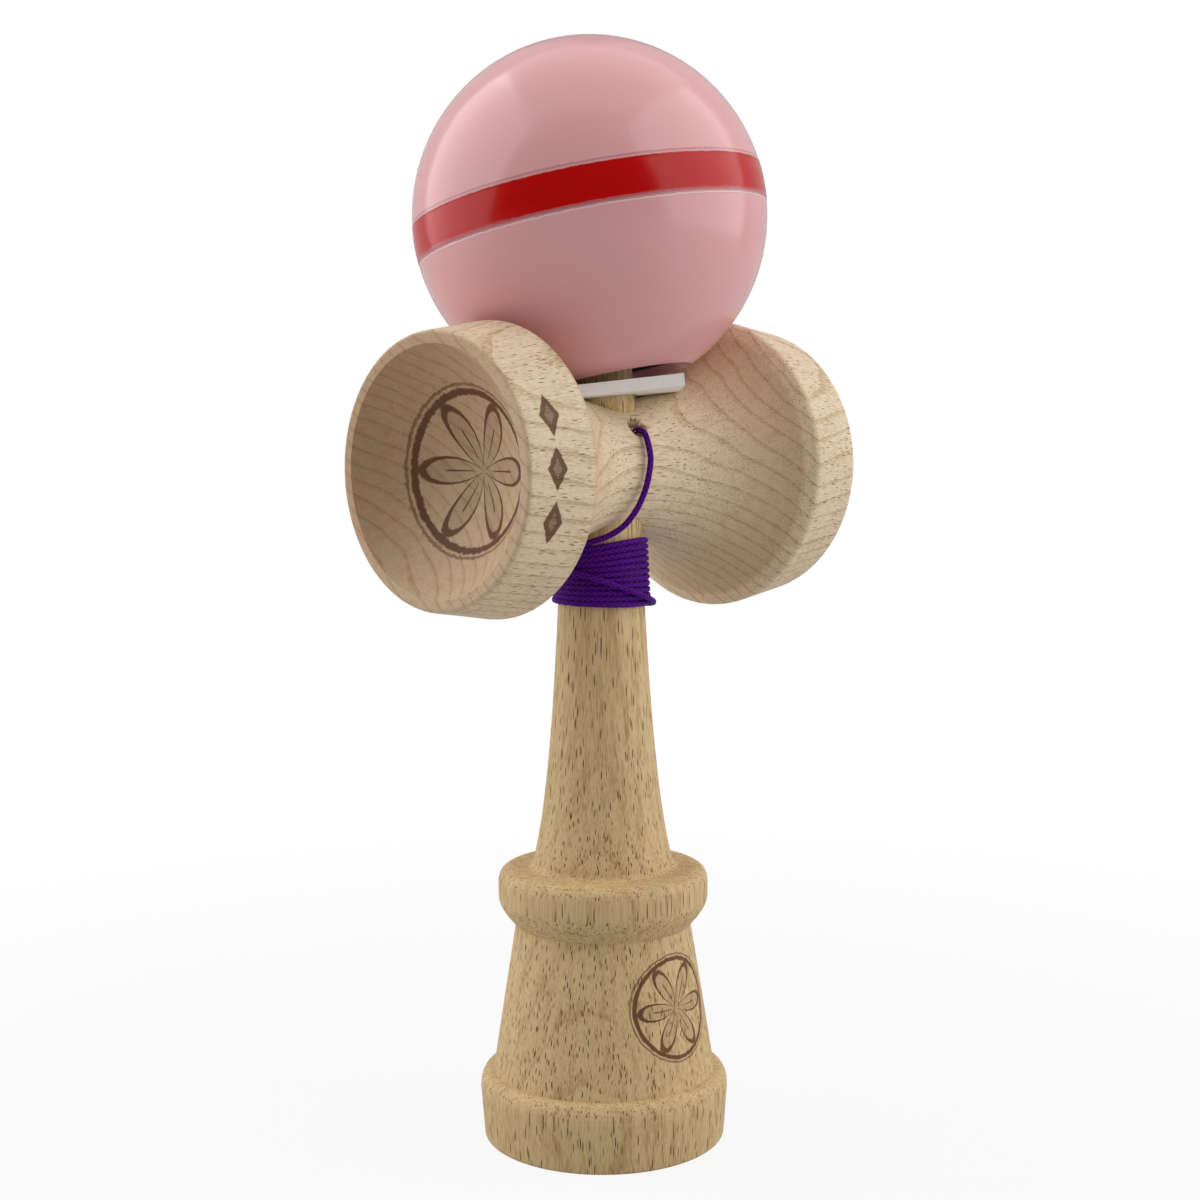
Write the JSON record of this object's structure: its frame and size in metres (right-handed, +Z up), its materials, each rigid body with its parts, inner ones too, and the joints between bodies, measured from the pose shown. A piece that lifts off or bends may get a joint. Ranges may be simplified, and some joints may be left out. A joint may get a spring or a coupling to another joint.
{
  "type": "kendama",
  "caption": "Wooden ball-and-cup skill toy: a turned handle with a spike, a cross piece with a cup at each end, and a lacquered ball on a string that lifts off the spike.",
  "frame": {"origin": "centre of the base rim, on the plane it stands on, on the handle's axis", "axes": "+Z up the handle to the spike, +X along the cross piece to the big cup, -Y the side with the string hole"},
  "size_m": [0.078, 0.061, 0.189],
  "materials": {
    "ken_wood": "satin",
    "sarado_wood": "satin",
    "pink_lacquer": "gloss",
    "red_lacquer": "gloss",
    "card": "matt",
    "bead_wood": "satin",
    "string": "braided"
  },
  "bodies": {
    "ken": {"ken": "ken_wood", "string_winding": "string"},
    "sarado": {"sarado": "sarado_wood", "string_knot": "string", "string_lead": "string", "string_tail_low": "string"},
    "spacer": {"spacer": "card", "string_tail_mid": "string"},
    "bead": {"bead": "bead_wood", "bead_knot": "string", "string_tail_high": "string"},
    "tama": {"tama": "pink_lacquer", "tama_stripe": "red_lacquer"}
  },
  "joints": [
    {"name": "sarado_pull", "type": "slide", "parent": "ken", "child": "sarado", "axis": [0, 0, 1], "range_m": [0, 0.065], "deforming": ["string_lead", "string_tail_low", "string_knot"]},
    {"name": "spacer_lift", "type": "slide", "parent": "sarado", "child": "spacer", "axis": [0, 0, 1], "range_m": [0, 0.045], "deforming": ["string_tail_mid"]},
    {"name": "tama_lift", "type": "slide", "parent": "spacer", "child": "bead", "axis": [0, 0, 1], "range_m": [0, 0.05], "deforming": ["string_tail_high"]},
    {"name": "tama_spin", "type": "hinge", "parent": "bead", "child": "tama", "pos_m": [0.0004, 0.0026, 0.15848], "axis": [-0.0757, 0.1724, 0.9821], "continuous": true}
  ]
}
